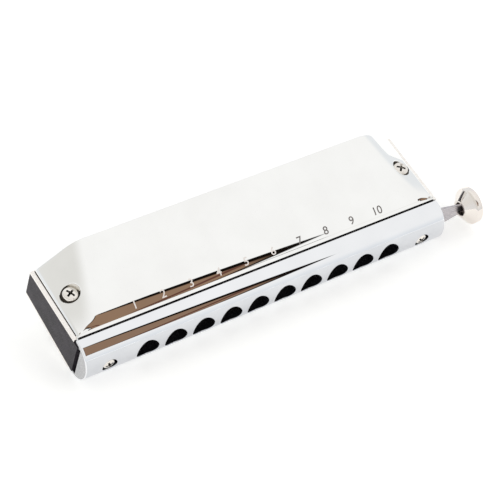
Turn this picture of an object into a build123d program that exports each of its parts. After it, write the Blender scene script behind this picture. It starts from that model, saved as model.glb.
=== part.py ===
from build123d import *
from math import asin, atan2, cos, degrees, radians, sin, tan
import os

# Slide chromatic harmonica: a moulded comb between two reed plates, two pressed cover plates,
# and a mouthpiece over a spring-returned slide that switches each hole between its two reed rows.
#
# Millimetres. The pieces are drawn in the instrument's own axes: X runs from the low notes to the
# slide button, Y = 0 is the comb's front face with the player at -Y, and Z = 0 is the comb's middle
# plane. The last section sets the whole instrument down on its lower cover's flat: there Z = 0 is
# the table, and the origin is the middle of the resting face.

# ---- Driving dimensions ----------------------------------------------------------------------

# Holes and overall size
hole_count = 10
hole_pitch = 9.6
hole_diameter = 7.5
comb_end_margin = 21.4          # from the outer holes' centres to the comb's ends
comb_depth = 28.8
comb_front_height = 12.8
comb_rear_height = 9.8

# Comb cells
cell_wall = 2.2                 # between neighbouring cells
cell_divider = 1.4              # between the upper and the lower cells
cell_front_wall = 2.4
cell_rear_wall = 2.2
window_height = 2.6

# Reed plates, reeds and valves
plate_thickness = 1.0
plate_setback = 2.1             # from the comb's front face
slot_front = 7.5                # from the comb's front face to every reed slot
slot_gap = 0.1                  # round a reed in its slot
reed_width = 2.2
reed_thickness = 0.2
reed_pad = 2.8                  # riveted end of a reed
reed_step = 0.65                # each reed is this much shorter than the one below it
rivet_radius = 0.6
rivet_head_radius = 0.9
rivet_head_height = 0.35
valve_width = 3.0
valve_thickness = 0.15
valve_overhang = 0.8            # of a valve past its slot

# Cover plates
cover_sheet = 0.6
cover_end_inset = 1.1           # the reed plates show this much at each end
cover_rear_inset = 0.4
cover_flange = 1.2              # flat strip ahead of the front wall
cover_front_rise = 1.5          # of the flat's plane, above the reed plate, at the front
cover_rear_rise = 9.2           # of the flat, above the reed plate, at the rear edge
cover_skirt = 0.8               # upright end wall below each sloping end
crease_inset_front = 6.8        # from the cover's end to where its flat begins
crease_inset_rear = 11.3
crease_radius = 3.5
skirt_radius = 0.9
cover_front_run = 2.8           # depth of the rounded front, from the flange to the flat
cover_front_radius = 6.9
cover_hem = 1.2
cover_skim = 0.02               # pressed off the rounded sections' tops, to leave a true flat

# Fasteners
cover_screw_inset = 5.6         # from the comb's end
cover_screw_radius = 1.0
cover_screw_head_radius = 2.35
cover_screw_head_height = 1.8
pocket_radius = 2.8
nut_radius = 2.3                # over its corners
nut_height = 1.6
mouth_screw_inset = 8.6         # from the comb's end
mouth_screw_radius = 1.0
mouth_screw_head_radius = 2.1
mouth_screw_head_height = 1.6
mouth_screw_grip = 8.0          # of thread in the comb
counterbore_radius = 2.45
counterbore_floor = 2.8         # mouthpiece left under the screw head
plate_screw_radius = 0.75
plate_screw_head_radius = 1.4
plate_screw_head_height = 0.8
plate_screw_grip = 2.6
plate_screw_inset = 13.1        # from the comb's end
plate_screw_lead = 1.9          # of the front ones, ahead of the reed slots
plate_screw_rear = 3.4          # of the rear ones, from the comb's rear face
middle_screw_rear = 2.4
hole_bottom = 0.2               # left free under a screw's end
screw_clearance = 0.05
head_round = 0.45
recess_width = 0.55             # arms of the cross recess in a screw head
recess_depth = 0.5              # as a share of the head's height

# Mouthpiece
mouth_depth = 5.7               # of the rounded front
mouth_nose = 0.5                # the rounding starts this far ahead of the comb
mouth_lip = 1.1                 # thickness of the lips over the comb's nose
mouth_end_inset = 0.4
lip_gap = 0.2                   # between the lips and the cover flanges
lip_clearance = 0.05

# Slide and its assembly
back_plate_thickness = 0.4
front_plate_thickness = 0.4
channel_thickness = 0.6
channel_end_inset = 1.6
channel_rail = 0.8
slide_clearance = 0.05
window_land = 0.3               # seal between two neighbouring windows
window_foot = 0.7               # from the middle plane to the windows
slide_fork_reach = 57.0         # the slide's forked end, from the middle of the holes
tang_shoulder = 0.9             # from the comb's end to where the tang starts to narrow
tang_length = 8.9
tang_half_height = 2.7
tang_insert = 2.9
bumper_wall = 0.45

# Return spring
spring_wire_radius = 0.35
spring_coil_radius = 1.8
spring_turns = 2.5
spring_pitch = 0.75
spring_inset = 13.5             # of the coil's centre, from the comb's end
spring_coil_depth = 11.0
spring_leg_end = 3.0
spring_clearance = 0.3
spring_seat = 0.05              # between the fixed leg and its wall
spring_step = 0.2               # height of the pocket's step, over the middle plane

# Button
button_neck_radius = 3.0
button_radius = 6.0
button_cone_radius = 5.8
button_cone_length = 2.6
button_rim_length = 2.2
button_dome = 0.8

# ---- Values that follow ----------------------------------------------------------------------

comb_half = (hole_count - 1) * hole_pitch / 2 + comb_end_margin
comb_taper = degrees(atan2((comb_front_height - comb_rear_height) / 2, comb_depth))
travel = hole_pitch / 2
window_width = travel - 2 * window_land
cell_width = hole_pitch - cell_wall
slot_width = reed_width + 2 * slot_gap
slot_offset = cell_width / 4 - 0.1
rear_room = cell_rear_wall + reed_pad + valve_overhang + slot_gap
reed_longest = comb_depth - slot_front - rear_room

slide_thickness = channel_thickness - 2 * slide_clearance
slide_rear = -back_plate_thickness - slide_clearance
slide_front = slide_rear - slide_thickness
slide_middle = (slide_front + slide_rear) / 2
channel_front = -back_plate_thickness - channel_thickness
mouth_rear = channel_front - front_plate_thickness
channel_half = comb_half - channel_end_inset
rail_outer = comb_front_height / 2 - lip_clearance
rail_inner = rail_outer - channel_rail
slide_half_height = rail_inner - slide_clearance

mouth_half = comb_half - mouth_end_inset
mouth_half_height = comb_front_height / 2 + mouth_lip
lip_end = plate_setback - lip_gap
mouth_screw_x = comb_half - mouth_screw_inset
seat_y = mouth_rear - counterbore_floor
bumper_radius = mouth_screw_radius + screw_clearance + bumper_wall

cover_half = comb_half - cover_end_inset
cover_wall = plate_setback + cover_flange
cover_rear = comb_depth - cover_rear_inset
cover_screw_x = comb_half - cover_screw_inset
cover_screw_y = (plate_setback + comb_depth) / 2
screw_hole = screw_clearance + cover_screw_radius

spring_x = comb_half - spring_inset
spring_leg_x = spring_x + spring_coil_radius
spring_low = -spring_turns * spring_pitch / 2
far = 200                       # longer than any piece
through_plate = (-1, plate_thickness + 1)


def hole_x(i):
    """Place of hole i along the instrument, counted from the low end."""
    return (i - (hole_count - 1) / 2) * hole_pitch


def reed_length(i):
    """Free length of hole i's reeds."""
    return reed_longest - i * reed_step


def plate_top(y):
    """Height of the upper reed plate's outer face at depth y."""
    return comb_front_height / 2 - y * tan(radians(comb_taper)) + plate_thickness / cos(radians(comb_taper))


def along_cover(y, at_wall, at_rear):
    """Value that runs evenly from the cover's front wall to its rear edge."""
    return at_wall + (at_rear - at_wall) * (y - cover_wall) / (cover_rear - cover_wall)


flat_at_wall = plate_top(cover_wall) + cover_front_rise
flat_at_rear = plate_top(cover_rear) + cover_rear_rise


def cover_flat(y):
    """Height of the upper cover's flat at depth y."""
    return along_cover(y, flat_at_wall, flat_at_rear)


def cover_crease(y):
    """Half-length of the upper cover's flat at depth y."""
    return cover_half - along_cover(y, crease_inset_front, crease_inset_rear)


def cover_end_height(x, y):
    """Height of the cover's sloping end at the place x, y."""
    foot = plate_top(y) + cover_skirt
    return foot + (cover_half - x) / (cover_half - cover_crease(y)) * (cover_flat(y) - foot)


pocket_floor = cover_end_height(cover_screw_x + pocket_radius, cover_screw_y)


# ---- Small helpers ---------------------------------------------------------------------------

def block(x, y, z):
    """Box between two values on each axis."""
    ends = (x, y, z)
    middle = [(low + high) / 2 for low, high in ends]
    return Pos(*middle) * Box(*[high - low for low, high in ends])


def post(x, y, radius, z):
    """Cylinder along Z between two heights."""
    return Pos(x, y, (z[0] + z[1]) / 2) * Cylinder(radius, z[1] - z[0])


def rod(x, z, radius, y):
    """Cylinder along Y between two depths."""
    return Pos(x, (y[0] + y[1]) / 2, z) * Rot(90, 0, 0) * Cylinder(radius, y[1] - y[0])


def prism(points, half_length):
    """Outline of y, z points drawn out along X."""
    return extrude(Plane.YZ * make_face(Polyline(*points, close=True)), half_length, both=True)


def slot(x, z, radius, y):
    """Rounded slot along X between two x values, through two depths."""
    bar = block(x, y, (z - radius, z + radius))
    return bar + rod(x[0], z, radius, y) + rod(x[1], z, radius, y)


def windows(rows, y):
    """Window openings of the slide assembly: rows gives (upper or lower sign, shift along X)."""
    cuts = []
    for sign, shift in rows:
        height = sorted((sign * window_foot, sign * (window_foot + window_height)))
        for i in range(hole_count):
            centre = hole_x(i) + shift
            cuts.append(block((centre - window_width / 2, centre + window_width / 2), y, height))
    return cuts


def cross_recess(head_radius, head_height):
    """Cross-shaped driver recess, cut down from z = 0."""
    arm = head_radius * 1.15
    depth = head_height * recess_depth
    bar = Pos(0, 0, -depth / 2) * Box(arm, recess_width, depth)
    return bar + Rot(0, 0, 90) * bar


def screw(shank_radius, shank_length, head_radius, head_height):
    """Pan-head screw with its head's seat at z = 0 and its shank towards -Z."""
    head = Pos(0, 0, head_height / 2) * Cylinder(head_radius, head_height)
    head = fillet(head.edges().sort_by(Axis.Z)[-1], head_round)
    head -= Pos(0, 0, head_height) * cross_recess(head_radius, head_height)
    return head + Pos(0, 0, -shank_length / 2) * Cylinder(shank_radius, shank_length)


def below(part):
    """The same piece on the lower side of the comb."""
    return mirror(part, about=Plane.XY)


# Everything on the upper reed plate is drawn flat and carried to the comb's sloping upper face:
# there z = 0 is the comb's face and z = plate_thickness the plate's outer face.
deck = Pos(0, 0, comb_front_height / 2) * Rot(-comb_taper, 0, 0)

plate_screw_spots = [
    (side * x, y)
    for side in (-1, 1)
    for x, y in (
        (comb_half - plate_screw_inset, slot_front - plate_screw_lead),
        (comb_half - plate_screw_inset, comb_depth - plate_screw_rear),
        (2 * hole_pitch, comb_depth - middle_screw_rear),
    )
]


# ---- Comb ------------------------------------------------------------------------------------

def make_comb():
    """Moulded comb: a row of cells above and below, each open at the front through a window."""
    front, rear = comb_front_height / 2, comb_rear_height / 2
    comb = prism([(0, -front), (comb_depth, -rear), (comb_depth, rear), (0, front)], comb_half)
    upper = []
    for i in range(hole_count):
        sides = (hole_x(i) - cell_width / 2, hole_x(i) + cell_width / 2)
        rear_end = slot_front + reed_length(i) + reed_pad + valve_overhang
        upper.append(block(sides, (cell_front_wall, rear_end), (cell_divider / 2, front + 1)))
    upper += windows([(1, 0)], (-1, cell_front_wall + 1))
    for x, y in plate_screw_spots:
        upper.append(deck * post(x, y, plate_screw_radius + screw_clearance, (-plate_screw_grip, 1)))
    comb -= upper
    comb -= [below(cut) for cut in upper]
    for side in (-1, 1):
        comb -= rod(side * mouth_screw_x, 0, mouth_screw_radius + screw_clearance, (-1, mouth_screw_grip))
        comb -= post(side * cover_screw_x, cover_screw_y, screw_hole, (-far, far))
    return comb - spring_pocket()


def spring_pocket():
    """Pocket behind the slide: wide where the moving leg swings, narrow beside the fixed leg."""
    reach = spring_coil_radius + spring_wire_radius
    rear = spring_coil_depth + reach + spring_clearance
    right = spring_x + reach + spring_clearance
    left = spring_leg_x - travel - spring_wire_radius - spring_clearance
    fixed_side = spring_x - reach - spring_seat
    low = spring_low - spring_wire_radius - spring_clearance
    swing = block((left, right), (-1, rear), (low, spring_step))
    return swing + block((fixed_side, right), (-1, rear), (0, -low))


# ---- Reed plates and what they carry ----------------------------------------------------------

def make_reed_plate():
    """Upper plate with two slots over each cell, one for the blow and one for the draw reed."""
    plate = block((-comb_half, comb_half), (plate_setback, comb_depth), (0, plate_thickness))
    cuts = []
    for i in range(hole_count):
        for x in (hole_x(i) - slot_offset, hole_x(i) + slot_offset):
            sides = (x - slot_width / 2, x + slot_width / 2)
            cuts.append(block(sides, (slot_front, slot_front + reed_length(i)), through_plate))
    cuts += [post(*spot, rivet_radius, through_plate) for i in range(hole_count) for spot in rivet_spots(i)]
    for x, y in plate_screw_spots:
        cuts.append(post(x, y, plate_screw_radius + screw_clearance, through_plate))
    plate = deck * (plate - cuts)
    for side in (-1, 1):
        plate -= post(side * cover_screw_x, cover_screw_y, screw_hole, (-far, far))
    return plate


def rivet_spots(i):
    """Rivets of hole i's draw reed, held ahead of its slot, and blow reed, held behind it."""
    behind = slot_front + reed_length(i) + reed_pad / 2
    return (hole_x(i) - slot_offset, slot_front - reed_pad / 2), (hole_x(i) + slot_offset, behind)


def make_reeds(outside):
    """Draw reeds lie on the plate's outer face, blow reeds on its inner face over the cells."""
    reeds = []
    for i in range(hole_count):
        length = reed_length(i) - slot_gap
        if outside:
            spot = rivet_spots(i)[0]
            ends = (slot_front - reed_pad, slot_front + length)
            low = plate_thickness
        else:
            spot = rivet_spots(i)[1]
            ends = (slot_front + slot_gap, slot_front + slot_gap + length + reed_pad)
            low = -reed_thickness
        sides = (spot[0] - reed_width / 2, spot[0] + reed_width / 2)
        reed = block(sides, ends, (low, low + reed_thickness))
        reeds.append(deck * (reed - post(*spot, rivet_radius, through_plate)))
    return reeds


def make_rivets():
    """A headed rivet through each reed's pad, with its head on the reed."""
    rivets = []
    for i in range(hole_count):
        draw_spot, blow_spot = rivet_spots(i)
        top = plate_thickness + reed_thickness
        draw = post(*draw_spot, rivet_radius, (0, top))
        draw += post(*draw_spot, rivet_head_radius, (top, top + rivet_head_height))
        blow = post(*blow_spot, rivet_radius, (-reed_thickness, plate_thickness))
        blow += post(*blow_spot, rivet_head_radius, (-reed_thickness - rivet_head_height, -reed_thickness))
        rivets += [deck * draw, deck * blow]
    return rivets


def make_valves():
    """A thin valve strip over each slot, on the face away from that slot's reed."""
    valves = []
    for i in range(hole_count):
        rear = slot_front + reed_length(i) + valve_overhang
        for shift, low in ((slot_offset, plate_thickness), (-slot_offset, -valve_thickness)):
            x = hole_x(i) + shift
            sides = (x - valve_width / 2, x + valve_width / 2)
            valve = block(sides, (slot_front - valve_overhang, rear), (low, low + valve_thickness))
            valves.append(deck * valve)
    return valves


def make_plate_screws():
    """Small screws that hold a reed plate to the comb."""
    pattern = screw(plate_screw_radius, plate_thickness + plate_screw_grip - hole_bottom,
                    plate_screw_head_radius, plate_screw_head_height)
    return [deck * Pos(x, y, plate_thickness) * pattern for x, y in plate_screw_spots]


# ---- Covers ----------------------------------------------------------------------------------

def cover_section(y, inset):
    """Upright section of the cover's form at depth y, drawn in by inset all round."""
    foot = plate_top(y) + cover_skirt
    half, crease, top = cover_half, cover_crease(y), cover_flat(y) + cover_skim
    points = [(half, 0), (half, foot), (crease, top), (-crease, top), (-half, foot), (-half, 0)]
    face = make_face(Polyline(*points, close=True))
    corners = face.vertices().sort_by(Axis.Y)
    face = fillet(corners[-2:], crease_radius)
    corners = [v for v in face.vertices() if abs(v.Y - foot) < 1e-6]
    face = fillet(corners, skirt_radius)
    if inset:
        face = offset(face, -inset, kind=Kind.INTERSECTION)
    return Plane((0, y, 0), x_dir=(1, 0, 0), z_dir=(0, -1, 0)) * face


def cover_front_arc(inset):
    """Foot, middle and top of the cover's rounded front, drawn in by inset, in the Y, Z plane."""
    slope = atan2(flat_at_rear - flat_at_wall, cover_rear - cover_wall)
    round_end = cover_wall + cover_front_run
    middle_y = round_end + cover_front_radius * sin(slope)
    middle_z = cover_flat(round_end) - cover_front_radius * cos(slope)
    radius = cover_front_radius - inset
    foot = asin((middle_y - cover_wall - inset) / radius)
    angles = (foot, (foot + slope) / 2, slope)
    return [(middle_y - radius * sin(angle), middle_z + radius * cos(angle)) for angle in angles]


def cover_form(inset, rear):
    """Solid under the cover's skin, drawn in by inset, from the front wall to the depth rear."""
    front = cover_wall + inset
    form = loft([cover_section(front, inset), cover_section(rear, inset)], ruled=True)
    drop = inset / cos(atan2(flat_at_rear - flat_at_wall, cover_rear - cover_wall))
    arc = cover_front_arc(inset)
    outline = Polyline(arc[2], (rear, cover_flat(rear) - drop), (rear, -1), (front, -1), arc[0])
    face = make_face(outline + ThreePointArc(*arc))
    return form & extrude(Plane.YZ * face, far, both=True)


def make_cover():
    """Pressed sheet cover: flat top, sloping ends with screw pockets, open and hemmed at the rear."""
    skin = cover_form(0, cover_rear)
    room = cover_form(cover_sheet, cover_rear + 1)
    cover = skin - room
    hem_front = cover_rear - cover_sheet
    hem = room & block((-far, far), (hem_front, cover_rear), (-far, far))
    hem -= cover_form(cover_sheet + cover_hem, cover_rear + 1)
    cover += hem
    below_plate = deck * block((-far, far), (-far, far), (-far, plate_thickness))
    flange = block((-cover_half, cover_half), (plate_setback, cover_wall + cover_sheet),
                   (plate_thickness, plate_thickness + cover_sheet))
    cover += deck * flange
    for side in (-1, 1):
        x, y = side * cover_screw_x, cover_screw_y
        cup = post(x, y, pocket_radius + cover_sheet, (pocket_floor - cover_sheet, far))
        cover += cup & skin
        cover -= post(x, y, pocket_radius, (pocket_floor, far))
        cover -= post(x, y, screw_hole, (-far, far))
    return cover - below_plate


# ---- Through screws and nuts of the covers ----------------------------------------------------

def make_cover_screws():
    """Long screws from the upper cover's pockets to the nuts in the lower cover's pockets."""
    shank = 2 * pocket_floor + nut_height
    pattern = screw(cover_screw_radius, shank, cover_screw_head_radius, cover_screw_head_height)
    return [Pos(side * cover_screw_x, cover_screw_y, pocket_floor) * pattern for side in (-1, 1)]


def make_cover_nuts():
    """Hexagon nuts seated in the lower cover's pockets."""
    ring = extrude(RegularPolygon(nut_radius, 6), nut_height)
    ring -= post(0, 0, screw_hole, (-1, nut_height + 1))
    return [Pos(side * cover_screw_x, cover_screw_y, -pocket_floor - nut_height) * ring for side in (-1, 1)]


# ---- Mouthpiece and its screws ----------------------------------------------------------------

def make_mouthpiece():
    """Round-fronted bar with ten bores, and lips that clasp the comb's nose and the slide assembly."""
    front = Pos(-mouth_nose, 0) * Ellipse(mouth_depth, mouth_half_height)
    rear = Pos((lip_end - mouth_nose) / 2, 0) * Rectangle(lip_end + mouth_nose, 2 * mouth_half_height)
    bar = extrude(Plane.YZ * (front + rear), mouth_half, both=True)
    bar -= block((-far, far), (lip_end, far), (-far, far))
    inner = comb_front_height / 2 + lip_clearance
    bar -= block((-far, far), (mouth_rear, far), (-inner, inner))
    for i in range(hole_count):
        bar -= rod(hole_x(i), 0, hole_diameter / 2, (-far, 0))
    for side in (-1, 1):
        bar -= rod(side * mouth_screw_x, 0, mouth_screw_radius + screw_clearance, (-far, 0))
        bar -= rod(side * mouth_screw_x, 0, counterbore_radius, (-far, seat_y))
    return bar


def make_mouthpiece_screws():
    """Screws through the mouthpiece and the slide assembly into the comb."""
    pattern = screw(mouth_screw_radius, mouth_screw_grip - hole_bottom - seat_y,
                    mouth_screw_head_radius, mouth_screw_head_height)
    return [Pos(side * mouth_screw_x, seat_y, 0) * Rot(90, 0, 0) * pattern for side in (-1, 1)]


# ---- Slide assembly --------------------------------------------------------------------------

def make_back_plate():
    """Rear guide plate, on the comb's face, with a slot for the spring's leg."""
    y = (-back_plate_thickness, 0)
    plate = block((-channel_half, channel_half), y, (-rail_outer, rail_outer))
    plate -= windows([(1, 0), (-1, 0)], y)
    for side in (-1, 1):
        plate -= rod(side * mouth_screw_x, 0, mouth_screw_radius + screw_clearance, y)
    leg = spring_wire_radius + spring_clearance
    return plate - slot((spring_leg_x - travel, spring_leg_x), spring_low, leg, y)


def make_channel():
    """Spacer that guides the slide's long edges and closes the low end."""
    y = (channel_front, -back_plate_thickness)
    frame = block((-channel_half, channel_half), y, (-rail_outer, rail_outer))
    return frame - block((-channel_half + channel_rail, far), y, (-rail_inner, rail_inner))


def make_front_plate():
    """Front guide plate, between the slide and the mouthpiece."""
    y = (mouth_rear, channel_front)
    plate = block((-channel_half, channel_half), y, (-rail_outer, rail_outer))
    plate -= windows([(1, 0), (-1, 0)], y)
    for side in (-1, 1):
        plate -= rod(side * mouth_screw_x, 0, mouth_screw_radius + screw_clearance, y)
    return plate


def make_slide():
    """Sliding plate: upper windows face the holes at rest, lower windows when it is pushed in."""
    y = (slide_front, slide_rear)
    shoulder = comb_half + tang_shoulder
    tip = shoulder + tang_length + tang_insert
    neck = shoulder + tang_length
    outline = [
        (-slide_fork_reach, -slide_half_height), (shoulder, -slide_half_height),
        (neck, -tang_half_height), (tip, -tang_half_height), (tip, tang_half_height),
        (neck, tang_half_height), (shoulder, slide_half_height), (-slide_fork_reach, slide_half_height),
    ]
    upright = Plane((0, slide_rear, 0), x_dir=(1, 0, 0), z_dir=(0, -1, 0))
    plate = extrude(upright * make_face(Polyline(*outline, close=True)), slide_thickness)
    plate -= windows([(1, 0), (-1, travel)], y)
    groove = bumper_radius + slide_clearance
    plate -= slot((mouth_screw_x, mouth_screw_x + travel), 0, groove, y)
    plate -= slot((-mouth_screw_x - travel, travel - mouth_screw_x), 0, groove, y)
    return plate - rod(spring_leg_x, spring_low, spring_wire_radius + slide_clearance, y)


def make_bumpers():
    """Soft sleeves on the mouthpiece screws that silence the slide at both ends of its travel."""
    y = (channel_front + slide_clearance, -back_plate_thickness - slide_clearance)
    inner = mouth_screw_radius + screw_clearance
    return [
        rod(side * mouth_screw_x, 0, bumper_radius, y) - rod(side * mouth_screw_x, 0, inner, y)
        for side in (-1, 1)
    ]


def make_spring():
    """Wire torsion spring: coil in the comb, one leg on its pocket's wall, one in the slide."""
    height = spring_turns * spring_pitch
    coil_path = Helix(spring_pitch, height, spring_coil_radius)
    start = Plane(origin=coil_path @ 0, z_dir=coil_path % 0)
    coil = sweep(start * Circle(spring_wire_radius), path=coil_path, is_frenet=True)
    coil = Pos(spring_x, spring_coil_depth, spring_low) * coil
    moving = rod(spring_leg_x, spring_low, spring_wire_radius, (slide_front, spring_coil_depth))
    fixed_x = spring_x - spring_coil_radius
    fixed = rod(fixed_x, -spring_low, spring_wire_radius, (spring_leg_end, spring_coil_depth))
    bends = [
        Pos(x, spring_coil_depth, z) * Sphere(spring_wire_radius)
        for x, z in ((spring_leg_x, spring_low), (fixed_x, -spring_low))
    ]
    return coil + [moving, fixed] + bends


def make_button():
    """Turned button pressed onto the slide's tang: neck cone, rim and slightly domed crown."""
    neck = comb_half + tang_shoulder + tang_length
    length = button_cone_length
    cone = Pos(0, 0, length / 2) * Cone(button_neck_radius, button_cone_radius, length)
    crown = length + button_rim_length + button_dome
    dome_radius = (button_radius ** 2 + button_dome ** 2) / (2 * button_dome)
    rim = post(0, 0, button_radius, (length, crown))
    rim &= Pos(0, 0, crown - dome_radius) * Sphere(dome_radius)
    knob = Pos(neck, slide_middle, 0) * Rot(0, 90, 0) * (cone + rim)
    height = (-tang_half_height, tang_half_height)
    return knob - block((neck - 1, neck + tang_insert), (slide_front, slide_rear), height)


# ---- The whole instrument, set down on its lower cover's flat -----------------------------------

rest_front = cover_wall + cover_front_run
rest_y = (rest_front + cover_rear) / 2
tilt = degrees(atan2(flat_at_rear - flat_at_wall, cover_rear - cover_wall))
placing = Rot(tilt, 0, 0) * Pos(0, -rest_y, cover_flat(rest_y))

reed_plate = make_reed_plate()
blow_reeds = make_reeds(outside=False)
draw_reeds = make_reeds(outside=True)
rivets = make_rivets()
valves = make_valves()
plate_screws = make_plate_screws()
cover = make_cover()

nodes = {
    "comb": [make_comb()],
    "upper_reed_plate": [reed_plate],
    "lower_reed_plate": [below(reed_plate)],
    "upper_blow_reeds": blow_reeds,
    "upper_draw_reeds": draw_reeds,
    "lower_blow_reeds": [below(reed) for reed in blow_reeds],
    "lower_draw_reeds": [below(reed) for reed in draw_reeds],
    "upper_reed_rivets": rivets,
    "lower_reed_rivets": [below(rivet) for rivet in rivets],
    "upper_valves": valves,
    "lower_valves": [below(valve) for valve in valves],
    "upper_plate_screws": plate_screws,
    "lower_plate_screws": [below(piece) for piece in plate_screws],
    "upper_cover": [cover],
    "lower_cover": [below(cover)],
    "cover_screws": make_cover_screws(),
    "cover_nuts": make_cover_nuts(),
    "mouthpiece": [make_mouthpiece()],
    "mouthpiece_screws": make_mouthpiece_screws(),
    "slide_back_plate": [make_back_plate()],
    "slide_channel": [make_channel()],
    "slide_front_plate": [make_front_plate()],
    "slide": [make_slide()],
    "slide_bumpers": make_bumpers(),
    "slide_spring": [make_spring()],
    "slide_button": [make_button()],
}

os.makedirs("parts", exist_ok=True)
for name, pieces in nodes.items():
    solids = [solid for piece in pieces for solid in piece.solids()]
    body = solids[0] if len(solids) == 1 else Compound(solids)
    export_step(placing * body, f"parts/{name}.step")
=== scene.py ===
from math import atan2, cos, log, pi, radians, sin, sqrt, tan

import bmesh
import bpy
from mathutils import Matrix, Vector


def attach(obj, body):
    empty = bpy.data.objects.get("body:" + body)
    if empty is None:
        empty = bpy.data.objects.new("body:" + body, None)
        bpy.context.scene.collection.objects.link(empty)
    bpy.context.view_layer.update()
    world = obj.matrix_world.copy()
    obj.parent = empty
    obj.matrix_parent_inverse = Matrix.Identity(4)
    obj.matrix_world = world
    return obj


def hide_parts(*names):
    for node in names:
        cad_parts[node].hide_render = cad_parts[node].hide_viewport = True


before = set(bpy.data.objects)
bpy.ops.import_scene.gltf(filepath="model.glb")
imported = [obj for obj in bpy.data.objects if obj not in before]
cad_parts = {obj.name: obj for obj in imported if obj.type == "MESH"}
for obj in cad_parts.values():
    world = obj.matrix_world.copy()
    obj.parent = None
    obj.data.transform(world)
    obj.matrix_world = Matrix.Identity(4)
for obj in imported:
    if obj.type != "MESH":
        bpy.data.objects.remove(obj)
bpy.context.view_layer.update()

# Chromatic harmonica. Every shape is worked out in the instrument's own axes, in millimetres:
# X along the instrument, Y = 0 at the comb's face with the player at -Y, Z = 0 at the comb's
# middle. placed() carries a point to the frame of the CAD model, in metres.

MM = 0.001

# ---- Sizes ------------------------------------------------------------------------------------
# As in the CAD model, but for the sizes marked as of the visible shape alone.

HOLE_COUNT = 10
HOLE_PITCH = 9.6
HOLE_RADIUS = 3.75

COMB_HALF = 64.6                # half the comb's length
COMB_DEPTH = 28.8
COMB_FRONT = 6.4                # half-height at the front
COMB_REAR = 4.9                 # and at the rear
PLATE = 1.0                     # thickness of a reed plate
PLATE_SETBACK = 2.1             # of its front edge behind the comb's face

SHEET = 0.6                     # thickness of a cover
COVER_HALF = COMB_HALF - 1.1
COVER_WALL = PLATE_SETBACK + 1.2
COVER_REAR = COMB_DEPTH - 0.4
FRONT_RISE = 1.5                # of the flat's plane above the plate, at the front wall
FRONT_RUN = 2.8                 # depth of the rounded front
FRONT_SHALLOW = radians(18)     # visible slope of the rounded front where it meets the flat
FRONT_STEEP = radians(36.7)     # and where it meets the flange
REAR_RISE = 9.2
SKIRT = 0.8                     # height of the sloping ends' feet
CREASE_INSET_FRONT = 5.4        # visible, of the flat's end from the cover's end
CREASE_INSET_REAR = 11.3
HEM = 1.2                       # height of the folded rear edge
COVER_SCREW_X = COMB_HALF - 5.6
COVER_SCREW_Y = (PLATE_SETBACK + COMB_DEPTH) / 2
POCKET_RADIUS = 2.8
SCREW_HOLE = 1.05

MOUTH_HALF = COMB_HALF - 0.4
MOUTH_HALF_HEIGHT = 7.5
MOUTH_NOSE = 0.6                # visible, depth where the front's round begins
MOUTH_DEPTH = 6.8               # visible, of that round
MOUTH_REAR = -1.4
MOUTH_INNER = COMB_FRONT + 0.05
LIP_END = PLATE_SETBACK - 0.3   # visible, depth where the lips over the comb end
FLANGE_START = PLATE_SETBACK + 0.04
MOUTH_SCREW_X = COMB_HALF - 8.6
COUNTERBORE_RADIUS = 2.45
SEAT_Y = MOUTH_REAR - 2.8       # floor of a counterbore

SLIDE_MIDDLE = -0.7             # depth of the slide
NECK_X = COMB_HALF + 0.9 + 8.9  # start of the button, with the slide out

hole_places = [(i - (HOLE_COUNT - 1) / 2) * HOLE_PITCH for i in range(HOLE_COUNT)]
comb_slope = (COMB_FRONT - COMB_REAR) / COMB_DEPTH


def plate_top(y):
    """Height of the upper reed plate's outer face at depth y."""
    return COMB_FRONT - y * comb_slope + PLATE / cos(atan2(comb_slope, 1))


def along_cover(y, at_wall, at_rear):
    """Value that runs evenly from the cover's front wall to its rear edge."""
    return at_wall + (at_rear - at_wall) * (y - COVER_WALL) / (COVER_REAR - COVER_WALL)


flat_at_wall = plate_top(COVER_WALL) + FRONT_RISE
flat_at_rear = plate_top(COVER_REAR) + REAR_RISE


def cover_flat(y):
    """Height of the upper cover's flat at depth y."""
    return along_cover(y, flat_at_wall, flat_at_rear)


def cover_crease(y):
    """Half-length of the upper cover's flat at depth y."""
    return COVER_HALF - along_cover(y, CREASE_INSET_FRONT, CREASE_INSET_REAR)


# The instrument lies on its lower cover's flat, with the origin in the middle of that face.
tilt = atan2(flat_at_rear - flat_at_wall, COVER_REAR - COVER_WALL)
rest_y = (COVER_WALL + FRONT_RUN + COVER_REAR) / 2
PLACING = Matrix.Rotation(tilt, 4, "X") @ Matrix.Translation((0, -rest_y, cover_flat(rest_y)))


def placed(point):
    """A point in the instrument's axes, in the CAD model's frame and in metres."""
    return (PLACING @ Vector(point)) * MM


# ---- Mesh helpers -----------------------------------------------------------------------------

def new_mesh(name, bm):
    """Mesh from bm, carried from the instrument's axes to the CAD frame."""
    for vert in bm.verts:
        vert.co = placed(vert.co)
    mesh = bpy.data.meshes.new(name)
    bm.to_mesh(mesh)
    bm.free()
    return mesh


def linked(name, data):
    """New object with the data, in the scene."""
    thing = bpy.data.objects.new(name, data)
    bpy.context.scene.collection.objects.link(thing)
    return thing


def make_piece(name, build, materials, body, node=None, smooth_angle=40):
    """Object from build(bm), drawn in the instrument's axes and carried to the CAD frame."""
    bm = bmesh.new()
    build(bm)
    bmesh.ops.remove_doubles(bm, verts=bm.verts, dist=0.001)
    mesh = new_mesh(name, bm)
    piece = linked(name, mesh)
    for material in materials:
        mesh.materials.append(material)
    mesh.shade_smooth()
    mesh.set_sharp_from_angle(angle=radians(smooth_angle))
    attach(piece, body)
    if node:
        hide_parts(node)
    return piece


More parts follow.
